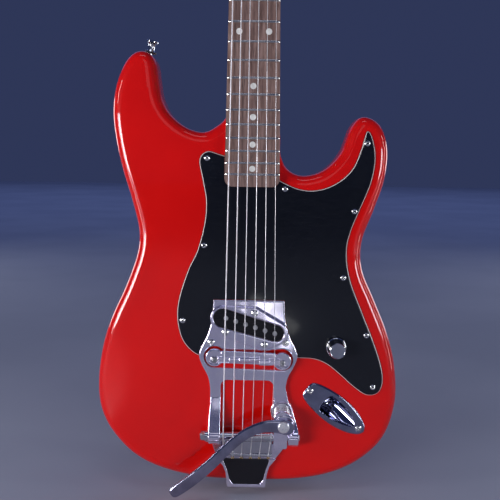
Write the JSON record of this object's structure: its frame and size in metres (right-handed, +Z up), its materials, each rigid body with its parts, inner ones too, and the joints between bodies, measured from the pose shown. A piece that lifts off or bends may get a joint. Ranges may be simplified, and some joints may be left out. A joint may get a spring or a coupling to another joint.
{
  "type": "electric guitar",
  "caption": "Solid-body electric guitar with a double cutaway, bolt-on neck, slanted pickup in a cast vibrato frame, rocking bridge, swinging arm and inline tuners.",
  "frame": {"origin": "where the end strap button meets the bottom of the body, halfway through the body's thickness", "axes": "+Z up along the neck to the head, -Y out of the front face, +X to the treble side"},
  "size_m": [0.3209, 0.0789, 0.9877],
  "materials": {
    "red_lacquer": "gloss",
    "black_plastic": "gloss",
    "white_plastic": "gloss",
    "dot_plastic": "gloss",
    "screw_steel": "satin",
    "pole_steel": "satin",
    "dark_steel": "satin",
    "string_steel": "bright",
    "fret_metal": "polished",
    "chrome": "polished",
    "cast_aluminium": "polished",
    "brass_parts": "satin",
    "copper_wire": "satin",
    "maple": "satin",
    "rosewood": "satin",
    "bone": "satin",
    "black_felt": "matte",
    "wire_cover": "matte"
  },
  "bodies": {
    "guitar": {"body": "red_lacquer", "pickguard": "black_plastic", "pickguard_core": "white_plastic", "pickguard_screws": "screw_steel", "neck": "maple", "fretboard": "rosewood", "frets": "fret_metal", "position_dots": "dot_plastic", "nut": "bone", "truss_rod": "dark_steel", "neck_plate": "chrome", "neck_screws": "screw_steel", "string_trees": "chrome", "strap_buttons": "chrome", "strap_washers": "black_felt", "strap_screws": "screw_steel", "vibrato_frame": "cast_aluminium", "frame_screws": "screw_steel", "tail_panel": "black_plastic", "pickup_bobbin": "black_plastic", "pickup_coil": "copper_wire", "pickup_poles": "pole_steel", "pickup_screws": "screw_steel", "pickup_springs": "pole_steel", "bridge_posts": "pole_steel", "post_bushes": "brass_parts", "shaft_bushes": "brass_parts", "return_spring": "pole_steel", "potentiometer": "dark_steel", "pot_nut": "pole_steel", "jack_plate": "chrome", "jack_screws": "screw_steel", "jack_socket": "pole_steel", "wiring": "wire_cover", "tuner_housings": "chrome", "tuner_ferrules": "chrome", "tuner_screws": "screw_steel", "strings": "string_steel"},
    "bridge": {"bridge_bar": "cast_aluminium"},
    "vibrato": {"string_shaft": "chrome", "shaft_nut": "chrome", "string_ends": "brass_parts", "arm_bracket": "cast_aluminium", "arm_stud": "chrome"},
    "arm": {"vibrato_arm": "cast_aluminium"},
    "volume": {"volume_knob": "chrome", "pot_shaft": "brass_parts"},
    "post_1": {"tuner_post_1": "chrome"},
    "button_1": {"tuner_button_1": "chrome"},
    "post_2": {"tuner_post_2": "chrome"},
    "button_2": {"tuner_button_2": "chrome"},
    "post_3": {"tuner_post_3": "chrome"},
    "button_3": {"tuner_button_3": "chrome"},
    "post_4": {"tuner_post_4": "chrome"},
    "button_4": {"tuner_button_4": "chrome"},
    "post_5": {"tuner_post_5": "chrome"},
    "button_5": {"tuner_button_5": "chrome"},
    "post_6": {"tuner_post_6": "chrome"},
    "button_6": {"tuner_button_6": "chrome"}
  },
  "joints": [
    {"name": "vibrato_rock", "type": "hinge", "parent": "guitar", "child": "vibrato", "pos_m": [0, -0.03145, 0.0548], "axis": [-1, 0, 0], "range_deg": [-6, 8], "stiffness_Nm_per_rad": 6, "deforming": ["return_spring"]},
    {"name": "arm_swing", "type": "hinge", "parent": "vibrato", "child": "arm", "pos_m": [0.0365, -0.04585, 0.072], "axis": [0, -1, 0], "range_deg": [-30, 150]},
    {"name": "bridge_rock", "type": "hinge", "parent": "guitar", "child": "bridge", "pos_m": [-0.0012, -0.02925, 0.1372], "axis": [-0.9992, 0, 0.0393], "range_deg": [-2.2, 2.8]},
    {"name": "volume_turn", "type": "hinge", "parent": "guitar", "child": "volume", "pos_m": [0.091, -0.03225, 0.152], "axis": [0, -1, 0], "range_deg": [-150, 150]},
    {"name": "button_turn_1", "type": "hinge", "parent": "guitar", "child": "button_1", "pos_m": [-0.01693, -0.0077, 0.81865], "axis": [-0.9673, 0, 0.2538], "continuous": true},
    {"name": "post_turn_1", "type": "hinge", "parent": "guitar", "child": "post_1", "pos_m": [-0.015, -0.02225, 0.826], "axis": [0, -1, 0], "continuous": true},
    {"name": "button_turn_2", "type": "hinge", "parent": "guitar", "child": "button_2", "pos_m": [-0.01059, -0.0077, 0.84283], "axis": [-0.9673, 0, 0.2538], "continuous": true},
    {"name": "post_turn_2", "type": "hinge", "parent": "guitar", "child": "post_2", "pos_m": [-0.00866, -0.02225, 0.85018], "axis": [0, -1, 0], "continuous": true},
    {"name": "button_turn_3", "type": "hinge", "parent": "guitar", "child": "button_3", "pos_m": [-0.00424, -0.0077, 0.86701], "axis": [-0.9673, 0, 0.2538], "continuous": true},
    {"name": "post_turn_3", "type": "hinge", "parent": "guitar", "child": "post_3", "pos_m": [-0.00231, -0.02225, 0.87436], "axis": [0, -1, 0], "continuous": true},
    {"name": "button_turn_4", "type": "hinge", "parent": "guitar", "child": "button_4", "pos_m": [0.0021, -0.0077, 0.89119], "axis": [-0.9673, 0, 0.2538], "continuous": true},
    {"name": "post_turn_4", "type": "hinge", "parent": "guitar", "child": "post_4", "pos_m": [0.00403, -0.02225, 0.89855], "axis": [0, -1, 0], "continuous": true},
    {"name": "button_turn_5", "type": "hinge", "parent": "guitar", "child": "button_5", "pos_m": [0.00845, -0.0077, 0.91538], "axis": [-0.9673, 0, 0.2538], "continuous": true},
    {"name": "post_turn_5", "type": "hinge", "parent": "guitar", "child": "post_5", "pos_m": [0.01038, -0.02225, 0.92273], "axis": [0, -1, 0], "continuous": true},
    {"name": "button_turn_6", "type": "hinge", "parent": "guitar", "child": "button_6", "pos_m": [0.01479, -0.0077, 0.93956], "axis": [-0.9673, 0, 0.2538], "continuous": true},
    {"name": "post_turn_6", "type": "hinge", "parent": "guitar", "child": "post_6", "pos_m": [0.01672, -0.02225, 0.94691], "axis": [0, -1, 0], "continuous": true}
  ],
  "couplings": [
    {"joint": "bridge_rock", "follows": "vibrato_rock", "ratio": 0.33},
    {"joint": "post_turn_1", "follows": "button_turn_1", "ratio": 0.071429},
    {"joint": "post_turn_2", "follows": "button_turn_2", "ratio": 0.071429},
    {"joint": "post_turn_3", "follows": "button_turn_3", "ratio": 0.071429},
    {"joint": "post_turn_4", "follows": "button_turn_4", "ratio": 0.071429},
    {"joint": "post_turn_5", "follows": "button_turn_5", "ratio": 0.071429},
    {"joint": "post_turn_6", "follows": "button_turn_6", "ratio": 0.071429}
  ]
}
